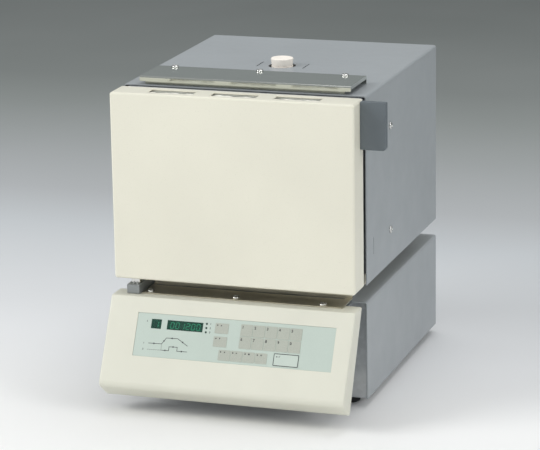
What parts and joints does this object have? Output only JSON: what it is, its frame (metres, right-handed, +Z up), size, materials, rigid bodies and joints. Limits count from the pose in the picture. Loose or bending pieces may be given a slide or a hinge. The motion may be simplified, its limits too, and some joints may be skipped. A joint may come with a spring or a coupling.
{
  "type": "muffle furnace",
  "caption": "Bench muffle furnace: insulated chamber with a side-hung door, chimney plug and polished hood, on a control section with a tilted keypad panel",
  "frame": {"origin": "on the plane of the feet, under the middle of the body in width and depth", "axes": "+Z up; the door and the control panel face -Y; +X to the right of someone who faces the door"},
  "size_m": [0.3004, 0.3832, 0.3534],
  "materials": {
    "cover_paint": "satin",
    "chassis_steel": "satin",
    "fibre": "matte",
    "heating_wire": "matte",
    "hearth_ceramic": "matte",
    "white_ceramic": "matte",
    "polished_steel": "polished",
    "bright_steel": "polished",
    "door_paint": "satin",
    "handle_grey": "satin",
    "hinge_paint": "satin",
    "black_plastic": "satin",
    "panel_plastic": "satin",
    "membrane": "satin",
    "pane": "gloss",
    "board": "satin",
    "standoff_brass": "satin",
    "transformer_iron": "satin",
    "sink_aluminium": "satin",
    "foot_rubber": "matte"
  },
  "bodies": {
    "root": {"furnace_cover": "cover_paint", "control_case": "cover_paint", "base_pan": "chassis_steel", "front_frame": "chassis_steel", "rear_cover": "chassis_steel", "inner_case": "chassis_steel", "case_stands": "chassis_steel", "side_brackets": "chassis_steel", "case_base": "chassis_steel", "rear_panel": "chassis_steel", "panel_chassis": "chassis_steel", "panel_housing": "chassis_steel", "deck_spacers": "chassis_steel", "wire_conduit": "chassis_steel", "front_ring": "fibre", "insulation_sides": "fibre", "insulation_top": "fibre", "insulation_bottom": "fibre", "insulation_rear": "fibre", "heater_plates_side": "fibre", "heater_plate_top": "fibre", "heater_plate_bottom": "fibre", "heating_elements": "heating_wire", "hearth_plate": "hearth_ceramic", "thermocouple": "white_ceramic", "terminal_blocks": "white_ceramic", "chimney_tube": "white_ceramic", "hood": "polished_steel", "heat_shelf": "polished_steel", "pan_head_screws": "bright_steel", "hood_posts": "bright_steel", "hinge_pins": "bright_steel", "thrust_collar": "bright_steel", "upper_hinge_arm": "hinge_paint", "lower_hinge_arm": "hinge_paint", "catch_magnet": "black_plastic", "power_inlet": "black_plastic", "fuse_holder": "black_plastic", "switch_housing": "black_plastic", "solid_state_relay": "black_plastic", "control_panel": "panel_plastic", "membrane_keypad": "membrane", "display_windows": "pane", "display_board": "board", "display_modules": "board", "board_standoffs": "standoff_brass", "transformer": "transformer_iron", "heat_sink": "sink_aluminium", "feet": "foot_rubber"},
    "door": {"door_shell": "door_paint", "door_pan": "chassis_steel", "door_insulation": "fibre", "door_plug": "fibre", "door_seal": "fibre", "handle": "handle_grey", "upper_hinge_block": "hinge_paint", "lower_hinge_block": "hinge_paint", "strike_plate": "chassis_steel"},
    "chimney_plug": {"chimney_plug": "white_ceramic"},
    "power_rocker": {"power_rocker": "black_plastic"}
  },
  "joints": [
    {"name": "door_hinge", "type": "hinge", "parent": "root", "child": "door", "pos_m": [-0.115, -0.174, 0.1375], "axis": [0, 0, -1], "range_deg": [0, 100]},
    {"name": "chimney_plug_lift", "type": "slide", "parent": "root", "child": "chimney_plug", "axis": [0, 0, 1], "range_m": [0, 0.05]},
    {"name": "power_rocker_tilt", "type": "hinge", "parent": "root", "child": "power_rocker", "pos_m": [0, 0.1384, 0.0575], "axis": [1, 0, 0], "range_deg": [0, 16]}
  ]
}
